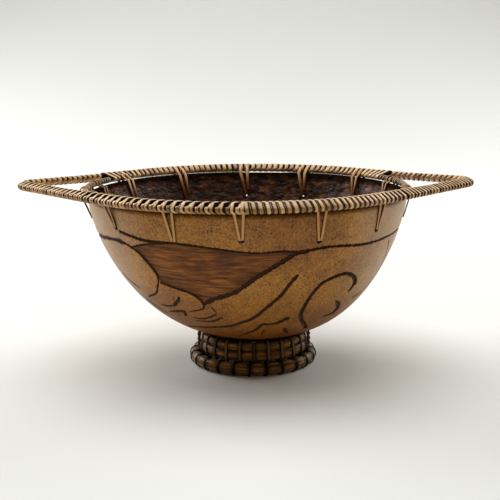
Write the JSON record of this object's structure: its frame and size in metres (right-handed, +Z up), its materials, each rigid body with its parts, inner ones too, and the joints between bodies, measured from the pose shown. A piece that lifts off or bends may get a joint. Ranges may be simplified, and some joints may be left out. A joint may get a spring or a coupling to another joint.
{
  "type": "carved coconut shell bowl",
  "caption": "Half coconut shell bowl with carved outside, rattan-bound cane rim running out into pointed loop handles, and a stitched cane ring foot.",
  "frame": {"origin": "on the floor, below the centre of the rim", "axes": "+X towards one handle, +Y to the back of the bowl, +Z up"},
  "size_m": [0.1872, 0.1389, 0.0772],
  "materials": {
    "shell": "carved and oiled coconut shell, speckled tan skin over brown",
    "cane": "round rattan cane",
    "rattan": "split rattan strip, smooth skin outwards",
    "foot_cane": "dark stained rattan cane, slightly glossy",
    "foot_rattan": "dark stained split rattan strip"
  },
  "bodies": {
    "root": {"coconut_shell": "shell", "rim_ring": "cane", "handle_inner_cane": "cane", "handle_outer_cane": "cane", "front_binding": "rattan", "back_binding": "rattan", "left_rim_binding": "rattan", "right_rim_binding": "rattan", "left_handle_binding": "rattan", "right_handle_binding": "rattan", "rim_lashing_01": "rattan", "rim_lashing_02": "rattan", "rim_lashing_03": "rattan", "rim_lashing_04": "rattan", "rim_lashing_05": "rattan", "rim_lashing_06": "rattan", "rim_lashing_07": "rattan", "rim_lashing_08": "rattan", "rim_lashing_09": "rattan", "rim_lashing_10": "rattan", "rim_lashing_11": "rattan", "rim_lashing_12": "rattan", "rim_lashing_13": "rattan", "rim_lashing_14": "rattan", "foot_base_ring": "foot_cane", "foot_lower_hoop": "foot_cane", "foot_upper_hoop": "foot_cane", "foot_stitching": "foot_rattan", "foot_tie_1": "foot_rattan", "foot_tie_2": "foot_rattan", "foot_tie_3": "foot_rattan", "foot_tie_4": "foot_rattan"}
  },
  "joints": []
}
